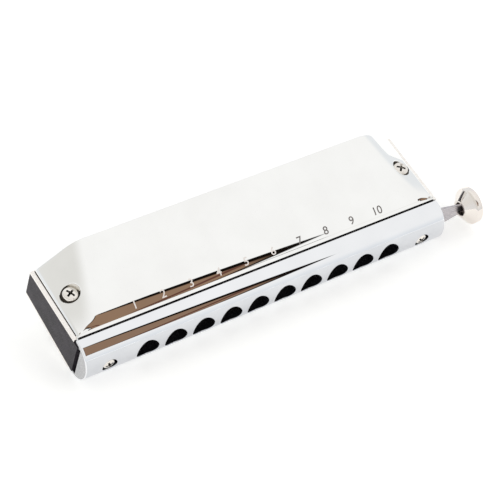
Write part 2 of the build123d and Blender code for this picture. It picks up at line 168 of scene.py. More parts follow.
def grid(bm, rows, material=0, closed=False):
    """Faces between rows of points of one length; closed joins each row's ends."""
    verts = [[bm.verts.new(point) for point in row] for row in rows]
    width = len(rows[0])
    steps = width if closed else width - 1
    for lower, upper in zip(verts, verts[1:]):
        for i in range(steps):
            j = (i + 1) % width
            corners = (lower[i], lower[j], upper[j], upper[i])
            if len({tuple(round(c, 4) for c in corner.co) for corner in corners}) < 3:
                continue
            face = bm.faces.new(corners)
            face.material_index = material
    return verts


def mirror_z(bm):
    """The same piece on the lower side of the comb."""
    for vert in bm.verts:
        vert.co.z = -vert.co.z
    bmesh.ops.reverse_faces(bm, faces=bm.faces)


def circle(turns, start=0.0):
    """Unit circle as even steps, each a pair of cosine and sine."""
    angles = [start + 2 * pi * k / turns for k in range(turns)]
    return [(cos(angle), sin(angle)) for angle in angles]


def lathe(bm, profile, turns, to_space):
    """Turns a profile of (radius, height) about an axis that to_space places."""
    rows = [[to_space(radius * a, radius * b, height) for a, b in circle(turns)]
            for radius, height in profile]
    grid(bm, rows, closed=True)


def upright(x, y, z, angle):
    """Way from a turned piece's axes to the instrument, its top up, turned by angle."""
    def to_space(a, b, h):
        return x + a * cos(angle) - b * sin(angle), y + a * sin(angle) + b * cos(angle), z + h
    return to_space


def facing_player(x, y, z, angle):
    """The same with its top towards the player."""
    def to_space(a, b, h):
        return x + a * cos(angle) - b * sin(angle), y - h, z + a * sin(angle) + b * cos(angle)
    return to_space


def arc_steps(count):
    """Angles of a quarter turn in even steps."""
    return [pi / 2 * k / count for k in range(count + 1)]


def between(low, high, count):
    """Even steps from low to high."""
    return [low + (high - low) * k / count for k in range(count + 1)]


# ---- Materials --------------------------------------------------------------------------------

def node_material(name):
    """Empty node material with its tree and its shader."""
    material = bpy.data.materials.new(name)
    material.use_nodes = True
    tree = material.node_tree
    return material, tree, tree.nodes["Principled BSDF"]


def noise(tree, scale, detail=4.0, stretch=(1, 1, 1)):
    """Noise over the piece's own place, in metres, with an optional stretch."""
    coords = tree.nodes.new("ShaderNodeTexCoord")
    mapping = tree.nodes.new("ShaderNodeMapping")
    mapping.inputs["Scale"].default_value = stretch
    texture = tree.nodes.new("ShaderNodeTexNoise")
    texture.inputs["Scale"].default_value = scale
    texture.inputs["Detail"].default_value = detail
    tree.links.new(coords.outputs["Object"], mapping.inputs["Vector"])
    tree.links.new(mapping.outputs["Vector"], texture.inputs["Vector"])
    return texture.outputs["Fac"]


def ramp(tree, value, low, high, spread=(0.35, 0.65)):
    """Value carried to a range between two colours or two greys."""
    node = tree.nodes.new("ShaderNodeValToRGB")
    for element, place, colour in zip(node.color_ramp.elements, spread, (low, high)):
        element.position = place
        grey = (colour, colour, colour)
        element.color = (*(colour if isinstance(colour, tuple) else grey), 1)
    tree.links.new(value, node.inputs["Fac"])
    return node.outputs["Color"]


def bump(tree, shader, height, distance):
    """Surface relief of a depth in metres."""
    node = tree.nodes.new("ShaderNodeBump")
    node.inputs["Distance"].default_value = distance
    node.inputs["Strength"].default_value = 1.0
    tree.links.new(height, node.inputs["Height"])
    tree.links.new(node.outputs["Normal"], shader.inputs["Normal"])


def plated(name, low, high, roughness, ripple=0.0000006):
    """Polished plating: slight tone changes, buffing haze and a faint ripple of the sheet."""
    material, tree, shader = node_material(name)
    shader.inputs["Metallic"].default_value = 1.0
    tree.links.new(ramp(tree, noise(tree, 90), low, high), shader.inputs["Base Color"])
    haze = noise(tree, 900, 3.0, (0.12, 1, 1))
    tree.links.new(ramp(tree, haze, *roughness), shader.inputs["Roughness"])
    bump(tree, shader, noise(tree, 140, 2.0), ripple)
    return material


def brushed(name, low, high, roughness, stretch, depth):
    """Metal with a fine grain that runs along the direction of least stretch."""
    material, tree, shader = node_material(name)
    shader.inputs["Metallic"].default_value = 1.0
    grain = noise(tree, 2600, 5.0, stretch)
    tree.links.new(ramp(tree, grain, low, high), shader.inputs["Base Color"])
    haze = noise(tree, 1100, 4.0, stretch)
    tree.links.new(ramp(tree, haze, *roughness), shader.inputs["Roughness"])
    bump(tree, shader, grain, depth)
    return material


def moulded(name, low, high, roughness, grain_scale, depth):
    """Moulded plastic or rubber with a spark-eroded grain."""
    material, tree, shader = node_material(name)
    tree.links.new(ramp(tree, noise(tree, 260), low, high), shader.inputs["Base Color"])
    grain = noise(tree, grain_scale, 3.0)
    tree.links.new(ramp(tree, grain, *roughness), shader.inputs["Roughness"])
    bump(tree, shader, grain, depth)
    return material


ALONG_X, ALONG_Y, EVEN = (0.04, 1, 1), (1, 0.05, 1), (1, 1, 1)
MIRROR = (0.008, 0.022)
MIRROR_RIPPLE = 0.0000004

chrome = plated(
    "cover_chrome", (0.895, 0.893, 0.88), (0.925, 0.925, 0.912), MIRROR, MIRROR_RIPPLE)
mouth_chrome = plated(
    "mouthpiece_chrome", (0.83, 0.84, 0.86), (0.865, 0.875, 0.893), MIRROR, MIRROR_RIPPLE)
# Painted shade: a darker copy of the mouthpiece chrome for its front round the holes and its front
# strips, for the dim reflection there.
front_chrome_painted_shade = plated(
    "front_chrome_painted_shade", (0.63, 0.642, 0.67), (0.69, 0.70, 0.725), (0.04, 0.07))
button_nickel = plated(
    "button_nickel", (0.80, 0.74, 0.69), (0.88, 0.83, 0.78), (0.07, 0.12))
screw_nickel = plated(
    "screw_nickel", (0.78, 0.74, 0.69), (0.93, 0.89, 0.84), (0.14, 0.24))
rivet_brass = plated(
    "rivet_brass", (0.72, 0.54, 0.26), (0.88, 0.70, 0.40), (0.16, 0.26))
satin_end = brushed(
    "satin_end", (0.46, 0.46, 0.47), (0.66, 0.66, 0.67), (0.34, 0.48), EVEN, 0.000004)
plate_nickel = brushed(
    "plate_nickel", (0.88, 0.84, 0.80), (0.96, 0.93, 0.90), (0.16, 0.28), ALONG_X, 0.0000015)
reed_brass = brushed(
    "reed_brass", (0.66, 0.47, 0.20), (0.86, 0.66, 0.32), (0.22, 0.36), ALONG_Y, 0.000002)
# Painted shade: a dark metal laid in the screws' driver recesses, on the pocket floors round the
# cover screws and along the covers' feet, where shade falls.
painted_recess_shade = brushed(
    "painted_recess_shade", (0.05, 0.045, 0.04), (0.11, 0.10, 0.09), (0.35, 0.5), EVEN, 0.000002)
slide_steel = brushed(
    "slide_steel", (0.42, 0.40, 0.42), (0.60, 0.57, 0.59), (0.24, 0.40), (0.05, 1, 1), 0.000002)
spring_wire = brushed(
    "spring_wire", (0.42, 0.42, 0.44), (0.58, 0.58, 0.60), (0.20, 0.32), EVEN, 0.000001)
# Black of the bore walls and the mouthpiece's rear; on the covers' cut edges the same black is a
# painted shade line.
bore_black_and_edge_shade = moulded(
    "bore_black_and_edge_shade", (0.004, 0.004, 0.005), (0.008, 0.008, 0.010), (0.16, 0.26), 1500, 0.0000008)
comb_black = moulded(
    "comb_black", (0.010, 0.006, 0.011), (0.026, 0.020, 0.028), (0.42, 0.6), 2600, 0.000008)
valve_film = moulded(
    "valve_film", (0.74, 0.74, 0.69), (0.88, 0.88, 0.84), (0.42, 0.60), 1400, 0.000004)
silicone = moulded(
    "bumper_silicone", (0.66, 0.66, 0.64), (0.76, 0.76, 0.74), (0.45, 0.6), 1600, 0.000004)
# Painted light and painted shade: lit and shaded copies of one figure colour.
figure_painted_light = moulded(
    "figure_painted_light", (0.80, 0.74, 0.70), (0.90, 0.84, 0.80), (0.55, 0.75), 3000, 0.000004)
figure_painted_shade = moulded(
    "figure_painted_shade", (0.15, 0.135, 0.13), (0.22, 0.20, 0.19), (0.55, 0.75), 3000, 0.000004)
floor_white = moulded(
    "floor_white", (0.80, 0.80, 0.79), (0.82, 0.82, 0.81), (0.85, 0.95), 40, 0.00001)

comb_shader = comb_black.node_tree.nodes["Principled BSDF"]
comb_shader.inputs["Specular IOR Level"].default_value = 0.35
floor_shader = floor_white.node_tree.nodes["Principled BSDF"]
floor_shader.inputs["Emission Color"].default_value = (1, 1, 1, 1)
floor_shader.inputs["Emission Strength"].default_value = 0.41


# ---- Covers -----------------------------------------------------------------------------------

SKIRT_ROUND = 0.9
HEM_ROUND = 0.4
FOOT_SHADE = 0.42               # painted shade along the foot where the cover's ends stand on the reed plate
CREASE_BLEND_FRONT = 0.45       # how softly the flat runs into the sloping ends, at the front
CREASE_BLEND_REAR = 2.4         # and at the rear
TIP_WALL = PLATE_SETBACK + 0.2  # the front wall comes forward to here at the cover's tips
FRONT_FADE = 1.6                # how fast the rounded front dies away with the sloping ends
FRONT_LEAST = 0.06              # share of it left at the tips


def smooth_min(a, b, reach):
    """The lower of two heights, blended where they are nearly equal."""
    share = min(max(0.5 + 0.5 * (b - a) / reach, 0), 1)
    return b + (a - b) * share - reach * share * (1 - share)


def round_drop(distance, radius):
    """How far a rounded edge lies under its flat at a distance from its outer side."""
    if distance >= radius:
        return 0
    inward = radius - max(distance, 0)
    return radius - sqrt(max(radius * radius - inward * inward, 0))


def wall_y(x):
    """Depth of the cover's front wall, which comes forward towards the tips."""
    start = COVER_HALF - CREASE_INSET_FRONT
    share = min(max((abs(x) - start) / (COVER_HALF - start), 0), 1)
    return COVER_WALL + (TIP_WALL - COVER_WALL) * share * share


def cover_top(x, y):
    """Height of the cover's flat and sloping ends, before its front is rounded off."""
    flat = cover_flat(y)
    foot = plate_top(y) + SKIRT
    end = foot + (COVER_HALF - abs(x)) / (COVER_HALF - cover_crease(y)) * (flat - foot)
    blend = along_cover(y, CREASE_BLEND_FRONT, CREASE_BLEND_REAR)
    return smooth_min(flat, end, blend) - round_drop(COVER_HALF - abs(x), SKIRT_ROUND)


def front_drop(distance):
    """How far the rounded front lies under the flat's plane at a distance from the flange."""
    ahead = FRONT_RUN - max(distance, 0)
    if ahead <= 0:
        return 0
    bend = (FRONT_STEEP - FRONT_SHALLOW) / FRONT_RUN
    fall = (log(cos(FRONT_SHALLOW)) - log(cos(FRONT_SHALLOW + bend * ahead))) / bend
    return fall - ahead * tan(tilt)


def front_share(x):
    """Size of the rounded front at x as a share of its full size; it shrinks with the ends."""
    y = COVER_WALL + FRONT_RUN
    flange = plate_top(COVER_WALL) + SHEET
    share = (cover_top(x, y) - flange) / (cover_flat(y) - flange)
    return max(min(max(share, 0), 1) ** FRONT_FADE, FRONT_LEAST)


def cover_height(x, y):
    """Height of the upper cover's outer skin."""
    flange = plate_top(y) + SHEET
    if y <= wall_y(x):
        return max(min(flange, cover_top(x, y)), plate_top(y))
    share = front_share(x)
    height = cover_top(x, y) - share * front_drop((y - wall_y(x)) / share)
    return max(height, min(flange, cover_top(x, y)), plate_top(y))


def cover_columns():
    """Places along X: fine in the sloping ends and their rounded feet."""
    foot = [COVER_HALF - SKIRT_ROUND * (1 - cos(angle)) for angle in arc_steps(8)]
    inner = COVER_HALF - CREASE_INSET_REAR - 4
    half = foot + between(COVER_HALF - SKIRT_ROUND, inner, 44)[1:]
    middle = between(-inner, inner, 60)[1:-1]
    return [-x for x in half] + middle + half[::-1]


def cover_row_depths(x):
    """Depths of one column: flange, front rounding, then the flat back to the rear edge."""
    wall = wall_y(x)
    run_end = wall + FRONT_RUN * front_share(x)
    flange = between(FLANGE_START, wall, 3)
    rounding = [wall + 0.02] + between(wall, run_end, 24)[1:]
    return flange + rounding + between(run_end, COVER_REAR - HEM_ROUND, 40)[1:]


def build_cover_skin(bm):
    """Outer skin of the upper cover, with its rear hem folded down."""
    columns = cover_columns()
    depths = [cover_row_depths(x) for x in columns]
    rows = []
    for j in range(len(depths[0])):
        rows.append([(x, ys[j], cover_height(x, ys[j])) for x, ys in zip(columns, depths)])
    for angle in arc_steps(4)[1:]:
        y = COVER_REAR - HEM_ROUND * (1 - sin(angle))
        drop = HEM_ROUND * (1 - cos(angle))
        rows.append([(x, y, max(cover_height(x, y) - drop, plate_top(COVER_REAR)))
                     for x in columns])
    tops = [cover_height(x, COVER_REAR) for x in columns]
    for drop in (HEM_ROUND + 0.3, 1.0, HEM):
        heights = [max(top - drop, plate_top(COVER_REAR)) for top in tops]
        rows.append([(x, COVER_REAR, height) for x, height in zip(columns, heights)])
    grid(bm, rows)
    # Painted shade: the lowest faces of the sloping ends' feet take the dark recess material, a
    # shade line on the reed plate.
    for face in bm.faces:
        middle = face.calc_center_median()
        low = middle.z - plate_top(middle.y) < FOOT_SHADE
        if low and abs(middle.x) > COVER_HALF - SKIRT_ROUND and middle.y > COVER_WALL:
            face.material_index = 1


POCKET_TURNS = 72
POCKET_CUT = 3.1                # radius of the opening that a pocket fills
# Rings of a pocket: growth past its radius and sink under the sloping end, then radius and rise
# over its floor.
POCKET_LIP = [(0.36, -0.01), (0.28, -0.03), (0.18, -0.015), (0.10, 0.05), (0.03, 0.18), (0, 0.4)]
POCKET_BED = [(2.78, 0.12), (2.7, 0.03), (2.58, 0), (SCREW_HOLE, 0), (SCREW_HOLE, -SHEET),
              (3.2, -SHEET)]
POCKET_BACK = 3.25              # radius where the pocket's back meets the sheet

pocket_floor = cover_top(COVER_SCREW_X + POCKET_RADIUS, COVER_SCREW_Y)


def build_pocket(bm, side):
    """Pressed pocket for a cover screw: rolled lip, wall, floor and the screw's hole."""
    def ring(radius, height):
        points = []
        for a, b in circle(POCKET_TURNS):
            x, y = side * COVER_SCREW_X + radius * a, COVER_SCREW_Y + radius * b
            points.append((x, y, height(x, y)))
        return points

    rows = []
    for grow, sink in POCKET_LIP:
        least = pocket_floor + 0.35 * grow
        rows.append(ring(POCKET_RADIUS + grow, lambda x, y: max(cover_height(x, y) - sink, least)))
    for radius, rise in POCKET_BED:
        rows.append(ring(radius, lambda x, y: pocket_floor + rise))
    rows.append(ring(POCKET_BACK, lambda x, y: max(cover_height(x, y) - 0.3, pocket_floor - SHEET)))
    grid(bm, rows, closed=True)
    # Painted shade: the pocket's floor round the screw head takes the dark recess material.
    for face in bm.faces:
        if abs(face.calc_center_median().z - pocket_floor) < 0.1:
            face.material_index = 1


def bare_object(name, build):
    """Closed helper object that never shows, such as a cutter."""
    bm = bmesh.new()
    build(bm)
    bmesh.ops.remove_doubles(bm, verts=bm.verts, dist=0.0005)
    bmesh.ops.holes_fill(bm, edges=bm.edges, sides=0)
    bmesh.ops.recalc_face_normals(bm, faces=bm.faces)
    return linked(name, new_mesh(name, bm))


def apply_modifiers(piece):
    """Replaces the piece's mesh by its evaluated one."""
    graph = bpy.context.evaluated_depsgraph_get()
    graph.update()
    result = bpy.data.meshes.new_from_object(piece.evaluated_get(graph))
    piece.modifiers.clear()
    piece.data = result


def cut(piece, cutter):
    """Takes the cutter's volume out of the piece for good."""
    modifier = piece.modifiers.new("cut", "BOOLEAN")
    modifier.operation = "DIFFERENCE"
    modifier.object = cutter
    modifier.solver = "EXACT"
    apply_modifiers(piece)
    bpy.data.objects.remove(cutter)


def make_cover(level):
    """Cover of one side: sheet with thickness, cut for its two pressed pockets."""
    sign = 1 if level == "upper" else -1

    def on_side(build):
        def build_there(bm):
            build(bm)
            if sign < 0:
                mirror_z(bm)
        return build_there

    cover = make_piece(
        f"{level}_cover_shell", on_side(build_cover_skin), [chrome, painted_recess_shade, bore_black_and_edge_shade],
        "housing", f"{level}_cover", 30)
    thick = cover.modifiers.new("sheet", "SOLIDIFY")
    thick.thickness = SHEET * MM * 0.98
    thick.offset = -1
    # Painted shade: the sheet's cut edges take the bore black, a dark shade line along the cover's
    # edges.
    thick.material_offset_rim = 2
    apply_modifiers(cover)
    for side, end in ((-1, "low"), (1, "high")):
        def column(bm):
            ends = sorted((sign * (pocket_floor - 2.5), sign * (pocket_floor + 6)))
            lathe(bm, [(POCKET_CUT, z) for z in ends], POCKET_TURNS,
                  upright(side * COVER_SCREW_X, COVER_SCREW_Y, 0, 0))

        cut(cover, bare_object("pocket_cutter", column))
        make_piece(
            f"{level}_cover_pocket_{end}", on_side(lambda bm: build_pocket(bm, side)),
            [chrome, painted_recess_shade], "housing", None, 60)
    cover.data.shade_smooth()
    cover.data.set_sharp_from_angle(angle=radians(30))


make_cover("upper")
make_cover("lower")


# ---- Hole numbers engraved on the upper cover ---------------------------------------------------

DIGIT_HEIGHT = 2.7
DIGIT_FOOT_Y = 3.88             # depth where the digits' feet lie on the rounded front
DIGIT_RISE = 0.012              # the frosted figures stand this much proud
DIGIT_ROOT = -0.05              # and reach this far into the cover
DIGIT_WEIGHT = 0.03             # added to the strokes
FIGURES_PAINTED_LIGHT = 6               # the first figures are painted light, the others painted shade: lit and shaded copies of one figure colour
FONT_CAP = 0.73                 # height of a figure in the font's own units


def front_run():
    """Places on the cover's front, with the length run along it from the digits' feet."""
    run = [(0.0, DIGIT_FOOT_Y)]
    y = DIGIT_FOOT_Y
    total = 0.0
    step = 0.02
    while total < DIGIT_HEIGHT * 1.6:
        total += sqrt(step * step + (cover_height(0, y + step) - cover_height(0, y)) ** 2)
        y += step
        run.append((total, y))
    return run


def depth_at(run, length):
    """Depth on the cover's front at a length along it."""
    for (low, y_low), (high, y_high) in zip(run, run[1:]):
        if length <= high:
            return y_low + (y_high - y_low) * max(length - low, 0) / (high - low)
    return run[-1][1]


def flat_figure(text):
    """Mesh of a figure in the XY plane."""
    curve = bpy.data.curves.new("figure", "FONT")
    curve.body = text
    curve.align_x = "CENTER"
    curve.size = DIGIT_HEIGHT / FONT_CAP
    curve.offset = DIGIT_WEIGHT
    curve.resolution_u = 4
    figure = linked("figure", curve)
    graph = bpy.context.evaluated_depsgraph_get()
    graph.update()
    flat = bpy.data.meshes.new_from_object(figure.evaluated_get(graph))
    bpy.data.objects.remove(figure)
    return flat


def make_number(i, run):
    """Number of hole i, laid on the cover's rounded front."""
    x_middle = hole_places[i]
    flat = flat_figure(str(i + 1))

    def lay(bm):
        bm.from_mesh(flat)
        bmesh.ops.remove_doubles(bm, verts=bm.verts, dist=0.001)
        long_edges = [edge for edge in bm.edges if edge.calc_length() > 0.4]
        bmesh.ops.subdivide_edges(bm, edges=long_edges, cuts=3)
        bmesh.ops.triangulate(bm, faces=bm.faces)
        grown = bmesh.ops.extrude_face_region(bm, geom=bm.faces[:])
        for vert in grown["geom"]:
            if isinstance(vert, bmesh.types.BMVert):
                vert.co.z += 1
        bmesh.ops.recalc_face_normals(bm, faces=bm.faces)
        for vert in bm.verts:
            x, y = x_middle + vert.co.x, depth_at(run, vert.co.y)
            proud = DIGIT_RISE if vert.co.z > 0.5 else DIGIT_ROOT
            vert.co = (x, y - proud * 0.5, cover_height(x, y) + proud)

    # Figures over the cover's brown reflection take the painted-light copy, the others the
    # painted-shade copy.
    figure = figure_painted_light if i < FIGURES_PAINTED_LIGHT else figure_painted_shade
    make_piece(f"hole_number_{i + 1}", lay, [figure], "housing", None, 50)


digit_run = front_run()
for i in range(HOLE_COUNT):
    make_number(i, digit_run)


# ---- Mouthpiece -------------------------------------------------------------------------------

CELL_HALF = HOLE_PITCH / 2      # half the width of a hole's share of the front
CELL_HALF_HEIGHT = 5.0          # of the front between the two smooth strips
CELL_STEPS = 14
REAR_REACH = HOLE_RADIUS + 1    # half-height of the rear face's part that holds the bores
RIM_ROUND = 0.35                # rolled edge of a hole
LIP_ROUND = 0.25                # rounded edge of a lip
END_BEVEL = 0.3

# Faces of FRONT_INDEX take the darker copy of the mouthpiece chrome, a painted shade.
CHROME_INDEX, BLACK_INDEX, SATIN_INDEX, FRONT_INDEX = range(4)

screw_places = [-MOUTH_SCREW_X, MOUTH_SCREW_X]


def mouth_front(z):
    """Depth of the mouthpiece's front at height z."""
    return MOUTH_NOSE - MOUTH_DEPTH * sqrt(max(1 - (z / MOUTH_HALF_HEIGHT) ** 2, 0))


def cell_border(x_middle, half_height):
    """Points (x, z) round the cell of one hole, from its lower left corner."""
    low, high = -half_height, half_height
    left, right = x_middle - CELL_HALF, x_middle + CELL_HALF
    border = [(x, low) for x in between(left, right, CELL_STEPS)[:-1]]
    border += [(right, z) for z in between(low, high, CELL_STEPS)[:-1]]
    border += [(x, high) for x in between(right, left, CELL_STEPS)[:-1]]
    return border + [(left, z) for z in between(high, low, CELL_STEPS)[:-1]]


def cell_ring():
    """Unit circle with a point for each point of a cell's border."""
    return circle(4 * CELL_STEPS, atan2(-CELL_HALF_HEIGHT, -CELL_HALF))


def build_cell(bm, x_middle, radius, floor_y):
    """Front face round one hole, the hole's rolled rim and its wall back to floor_y."""
    ring = cell_ring()
    outer = radius + RIM_ROUND
    rows = []
    for share in between(0, 1, 5):
        row = []
        for (border_x, border_z), (a, b) in zip(cell_border(x_middle, CELL_HALF_HEIGHT), ring):
            x = border_x + (x_middle + outer * a - border_x) * share
            z = border_z + (outer * b - border_z) * share
            row.append((x, mouth_front(z), z))
        rows.append(row)
    for angle in arc_steps(5)[1:]:
        reach = outer - RIM_ROUND * sin(angle)
        sink = RIM_ROUND * (1 - cos(angle))
        rows.append([(x_middle + reach * a, mouth_front(outer * b) + sink, reach * b)
                     for a, b in ring])
    grid(bm, rows, FRONT_INDEX, closed=True)
    wall = [rows[-1]]
    for share in (0.08, 0.4, 1.0):
        wall.append([(x_middle + radius * a, start_y + (floor_y - start_y) * share, radius * b)
                     for (a, b), (_, start_y, _) in zip(ring, rows[-1])])
    grid(bm, wall, BLACK_INDEX, closed=True)
    return wall[-1]


def build_rear_cell(bm, x_middle):
    """Rear face round one bore."""
    border = [(x, MOUTH_REAR, z) for x, z in cell_border(x_middle, REAR_REACH)]
    ring = [(x_middle + HOLE_RADIUS * a, MOUTH_REAR, HOLE_RADIUS * b) for a, b in cell_ring()]
    grid(bm, [border, ring], BLACK_INDEX, closed=True)


def build_seat(bm, x_middle, outer):
    """Floor of a counterbore inside its outer ring, and the hole for the screw's shank."""
    middle = Vector((x_middle, SEAT_Y, 0))
    share = SCREW_HOLE / COUNTERBORE_RADIUS
    inner = [tuple(middle + (Vector(point) - middle) * share) for point in outer]
    grid(bm, [outer, inner], BLACK_INDEX, closed=True)
    grid(bm, [inner, [(x, MOUTH_REAR, z) for x, _, z in inner]], BLACK_INDEX, closed=True)


def mouth_profile():
    """Outline (y, z) from the top of the cells round the lip and inside it to the rear face."""
    share = CELL_HALF_HEIGHT / MOUTH_HALF_HEIGHT
    points = []
    for angle in between(atan2(share, sqrt(1 - share ** 2)), pi / 2, 18):
        points.append((MOUTH_NOSE - MOUTH_DEPTH * cos(angle), MOUTH_HALF_HEIGHT * sin(angle)))
    points += [(y, MOUTH_HALF_HEIGHT) for y in between(MOUTH_NOSE, LIP_END - LIP_ROUND, 5)[1:]]
    for angle in arc_steps(4)[1:]:
        points.append((LIP_END - LIP_ROUND * (1 - sin(angle)),
                       MOUTH_HALF_HEIGHT - LIP_ROUND * (1 - cos(angle))))
    points.append((LIP_END, MOUTH_HALF_HEIGHT - LIP_ROUND - 0.1))
    return points + [(LIP_END, MOUTH_INNER), (MOUTH_REAR, MOUTH_INNER)]


def drawn_in(y, z, inset):
    """Point of the mouthpiece's outline moved in by inset, for its bevelled ends."""
    if z >= MOUTH_HALF_HEIGHT - END_BEVEL and y > MOUTH_NOSE:
        return min(y, LIP_END - inset), min(z, MOUTH_HALF_HEIGHT - inset)
    if y > MOUTH_NOSE:
        return min(y, LIP_END - inset), z
    normal = Vector((0, (y - MOUTH_NOSE) / MOUTH_DEPTH ** 2, z / MOUTH_HALF_HEIGHT ** 2))
    if normal.length == 0:
        return y, z
    normal.normalize()
    return y - normal.y * inset, z - normal.z * inset


def build_mouth_ends(bm, outline):
    """Bevels and satin faces of the two ends, inside the outline of (y, z)."""
    for side in (-1, 1):
        rows = []
        for angle in arc_steps(4):
            inset = END_BEVEL * (1 - cos(angle))
            x = side * (MOUTH_HALF - END_BEVEL + END_BEVEL * sin(angle))
            rows.append([(x, *drawn_in(y, z, inset)) for y, z in outline])
        cap = bm.faces.new(grid(bm, rows)[-1])
        cap.material_index = SATIN_INDEX


def build_mouthpiece(bm):
    """Whole mouthpiece: cells round the bores, smooth strips, lips, rear face and satin ends."""
    for x in hole_places:
        build_cell(bm, x, HOLE_RADIUS, MOUTH_REAR)
    seats = [build_cell(bm, x, COUNTERBORE_RADIUS, SEAT_Y) for x in screw_places]
    columns = []
    for x in hole_places + screw_places:
        columns += between(x - CELL_HALF, x + CELL_HALF, CELL_STEPS)
    bores_end = hole_places[-1] + CELL_HALF
    heights = between(-CELL_HALF_HEIGHT, CELL_HALF_HEIGHT, CELL_STEPS)
    for low, high in ((bores_end, MOUTH_SCREW_X - CELL_HALF),
                      (MOUTH_SCREW_X + CELL_HALF, MOUTH_HALF - END_BEVEL)):
        for side in (-1, 1):
            xs = [side * x for x in between(low, high, 5)]
            columns += xs
            grid(bm, [[(x, mouth_front(z), z) for x in xs] for z in heights], FRONT_INDEX)
    columns = sorted({round(x, 5) for x in columns})
    profile = mouth_profile()
    for side in (-1, 1):
        for part, index in ((profile[:-1], CHROME_INDEX), (profile[-2:], BLACK_INDEX)):
            grid(bm, [[(x, y, side * z) for x in columns] for y, z in part], index)
    front = [(mouth_front(z), z) for z in heights[1:-1]]
    build_mouth_ends(bm, [(y, -z) for y, z in profile[::-1]] + front + profile)

    def rear(x_low, x_high, z_low, z_high):
        rows = [[(x, MOUTH_REAR, z) for x in (x_low, x_high)] for z in (z_low, z_high)]
        grid(bm, rows, BLACK_INDEX)

    rear(-MOUTH_HALF, MOUTH_HALF, -MOUTH_INNER, -REAR_REACH)
    rear(-MOUTH_HALF, MOUTH_HALF, REAR_REACH, MOUTH_INNER)
    for x in hole_places:
        build_rear_cell(bm, x)
    for x, outer in zip(screw_places, seats):
        build_seat(bm, x, outer)
    rear(-MOUTH_HALF, -bores_end, -REAR_REACH, REAR_REACH)
    rear(bores_end, MOUTH_HALF, -REAR_REACH, REAR_REACH)
    bmesh.ops.recalc_face_normals(bm, faces=bm.faces)


make_piece(
    "mouthpiece_bar", build_mouthpiece, [mouth_chrome, bore_black_and_edge_shade, satin_end, front_chrome_painted_shade],
    "housing", "mouthpiece", 35)


# ---- Screws -----------------------------------------------------------------------------------

SCREW_CROWN = 0.168             # fall of a head's top to its edge, as a share of its height
SCREW_EDGE = 0.30               # radius of a head's edge, as a share of its height
SCREW_CHAMFER = 0.12            # under the head
SCREW_TIP = 0.4                 # length of the tapered tip
TIP_RADIUS = 0.65
SHANK_RADIUS = 1.0
# Driver recess from above the head to its bottom: height as a share of the head's, length of an
# arm as a share of the head's radius, half its width.
RECESS_TOP, RECESS_MIDDLE, RECESS_BOTTOM = (1.0, 0.68, 0.36), (0.55, 0.54, 0.28), (0.30, 0.20, 0.12)


def screw_profile(head_radius, head_height, shank_length):
    """Half outline of a pan-head screw, from the top of its head to its tip; seat at height 0."""
    crown, edge = head_height * SCREW_CROWN, head_height * SCREW_EDGE
    points = [(0.001, head_height)]
    for share in between(0, 1, 6)[1:]:
        points.append(((head_radius - edge) * share, head_height - crown * share * share))
    for angle in arc_steps(5)[1:]:
        points.append((head_radius - edge * (1 - sin(angle)),
                       head_height - crown - edge * (1 - cos(angle))))
    points += [(head_radius, SCREW_CHAMFER), (head_radius - SCREW_CHAMFER, 0), (SHANK_RADIUS, 0)]
    return points + [(SHANK_RADIUS, SCREW_TIP - shank_length), (TIP_RADIUS, -shank_length),
                     (0.001, -shank_length)]


def build_arm(bm, head_radius, head_height, to_space, turned):
    """One tapered bar of the driver recess, or the one across it when turned."""
    rings = []
    for share, reach, half_width in (RECESS_TOP, RECESS_MIDDLE, RECESS_BOTTOM):
        arm = head_radius * reach
        height = head_height * share + (0.3 if share == 1.0 else 0)
        corners = [(-arm, -half_width), (arm, -half_width), (arm, half_width), (-arm, half_width)]
        if turned:
            corners = [(-b, a) for a, b in corners]
        rings.append([to_space(a, b, height) for a, b in corners])
    verts = grid(bm, rings, closed=True)
    bm.faces.new(verts[0])
    bm.faces.new(verts[-1])


def make_screws(name, spots, head_radius, head_height, shank_length, node):
    """Screws of one kind as one piece; each spot gives the way from the screw's axes."""
    def turn_all(bm):
        for to_space in spots:
            lathe(bm, screw_profile(head_radius, head_height, shank_length), 48, to_space)

    screws = make_piece(
        name, turn_all, [screw_nickel, painted_recess_shade], "housing", node, 35)
    for to_space in spots:
        for turned in (False, True):
            cutter = bare_object(
                "cross_cutter",
                lambda bm: build_arm(bm, head_radius, head_height, to_space, turned))
            # Painted shade: the faces cut by the driver recess take the dark recess material.
            cutter.data.materials.append(screw_nickel)
            cutter.data.materials.append(painted_recess_shade)
            for face in cutter.data.polygons:
                face.material_index = 1
            cut(screws, cutter)
    screws.data.set_sharp_from_angle(angle=radians(35))


make_screws(
    "cover_through_screws",
    [upright(-COVER_SCREW_X, COVER_SCREW_Y, pocket_floor, 0.5),
     upright(COVER_SCREW_X, COVER_SCREW_Y, pocket_floor, 0.9)],
    head_radius=2.35, head_height=1.8, shank_length=2 * pocket_floor + 1.6, node="cover_screws")
make_screws(
    "mouthpiece_bar_screws",
    [facing_player(-MOUTH_SCREW_X, SEAT_Y, 0, 0.35), facing_player(MOUTH_SCREW_X, SEAT_Y, 0, 0.8)],
    head_radius=2.0, head_height=1.65, shank_length=7.8 - SEAT_Y, node="mouthpiece_screws")


# ---- Button -----------------------------------------------------------------------------------

BUTTON_RADIUS = 6.0
CROWN_ROUND = 0.35
CROWN_EDGE = 4.55               # height where the crown's rounded edge begins
CROWN_RISE = 0.7


